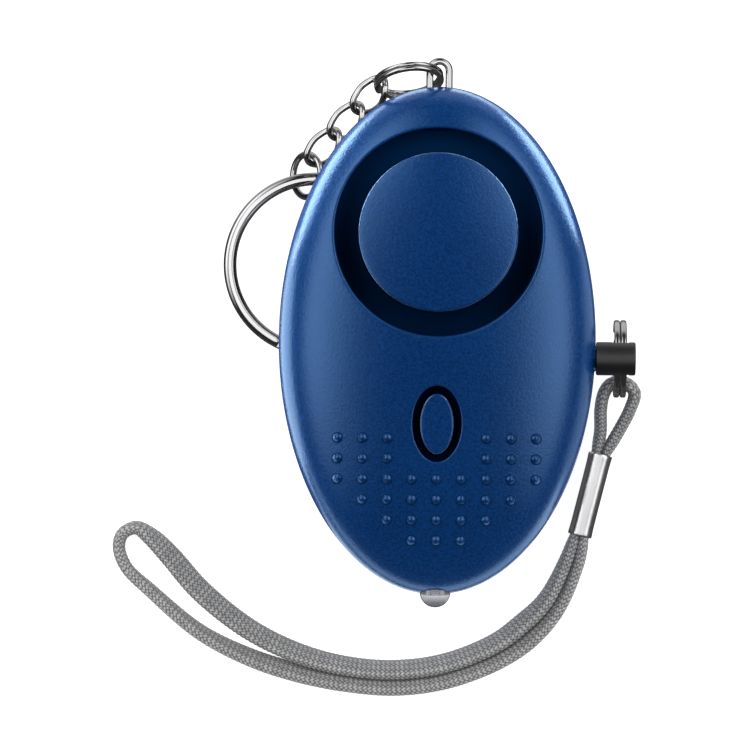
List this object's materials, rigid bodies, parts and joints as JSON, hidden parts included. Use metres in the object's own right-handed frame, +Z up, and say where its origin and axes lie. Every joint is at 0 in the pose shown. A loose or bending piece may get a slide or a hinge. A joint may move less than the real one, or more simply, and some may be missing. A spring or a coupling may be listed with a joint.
{
  "type": "personal_safety_alarm",
  "caption": "Blue oval personal safety alarm with a siren, a light, a black pull pin on a grey wrist strap and a chrome key chain",
  "frame": {"origin": "on the surface the alarm lies on, under the middle of the alarm and its key chain without the wrist strap", "axes": "X across the casing towards the pull pin, Y along the casing towards the key chain, Z up to the siren face"},
  "size_m": [0.0854, 0.1036, 0.0245],
  "materials": {
    "casing_blue": "satin blue moulded plastic with a fine grain",
    "black_plastic": "satin black moulded plastic",
    "tray_white": "plain off-white moulded plastic",
    "foam_white": "soft adhesive ring",
    "brass": "bare sheet brass",
    "board_green": "lacquered circuit board",
    "coil_brown": "lacquered winding on a core",
    "clear_lens": "clear moulded lens",
    "steel": "plain steel",
    "chrome": "bright plated wire",
    "strap_grey": "grey braided flat cord"
  },
  "bodies": {
    "alarm": {"front_shell": "casing_blue", "rear_cover": "casing_blue", "siren_cap": "casing_blue", "piezo_ring": "foam_white", "piezo_disc": "brass", "circuit_board": "board_green", "boost_coil": "coil_brown", "driver_chip": "black_plastic", "tact_switch": "black_plastic", "led": "clear_lens", "led_leads": "steel", "battery_tray": "tray_white", "button_cells": "steel", "lower_contact": "brass", "upper_contact": "brass", "pin_socket": "black_plastic", "switch_contacts": "brass", "case_screws": "steel", "staple": "chrome"},
    "button": {"led_button": "casing_blue", "switch_plunger": "tray_white"},
    "pull_pin": {"pull_pin": "black_plastic", "ferrule": "chrome", "strap_bight": "strap_grey", "strap_loop": "strap_grey"},
    "strap_ring": {"strap_ring": "chrome"},
    "split_ring": {"split_ring": "chrome"},
    "chain_link_1": {"chain_link_1": "chrome"},
    "chain_link_2": {"chain_link_2": "chrome"},
    "chain_link_3": {"chain_link_3": "chrome"},
    "jump_ring": {"jump_ring": "chrome"},
    "key_ring": {"key_ring": "chrome"}
  },
  "joints": [
    {"name": "button_press", "type": "slide", "parent": "alarm", "child": "button", "axis": [0, 0, -1], "range_m": [0, 0.0006], "stiffness_N_per_m": 400},
    {"name": "pin_pull", "type": "slide", "parent": "alarm", "child": "pull_pin", "axis": [1, 0, 0], "range_m": [0, 0.016]},
    {"name": "strap_ring_turn", "type": "hinge", "parent": "pull_pin", "child": "strap_ring", "pos_m": [0.03102, -0.004, 0.0072], "axis": [1, 0, 0], "range_deg": [-60, 60]},
    {"name": "split_ring_swing", "type": "hinge", "parent": "alarm", "child": "split_ring", "pos_m": [0.00138, 0.0418, 0.013], "axis": [0, 0, 1], "range_deg": [-40, 0]},
    {"name": "chain_link_1_swing", "type": "hinge", "parent": "split_ring", "child": "chain_link_1", "pos_m": [-0.00855, 0.0395, 0.01091], "axis": [0, 0, 1], "range_deg": [-20, 0]},
    {"name": "chain_link_2_swing", "type": "hinge", "parent": "chain_link_1", "child": "chain_link_2", "pos_m": [-0.01195, 0.03567, 0.0089], "axis": [0, 0, 1], "range_deg": [-20, 0]},
    {"name": "chain_link_3_swing", "type": "hinge", "parent": "chain_link_2", "child": "chain_link_3", "pos_m": [-0.01565, 0.0315, 0.0067], "axis": [0, 0, 1], "range_deg": [-20, 0]},
    {"name": "jump_ring_swing", "type": "hinge", "parent": "chain_link_3", "child": "jump_ring", "pos_m": [-0.01936, 0.02733, 0.0045], "axis": [0, 0, 1], "range_deg": [-20, 0]},
    {"name": "key_ring_swing", "type": "hinge", "parent": "jump_ring", "child": "key_ring", "pos_m": [-0.01996, 0.02475, 0.00253], "axis": [0, 0, 1], "range_deg": [-50, 5]}
  ]
}
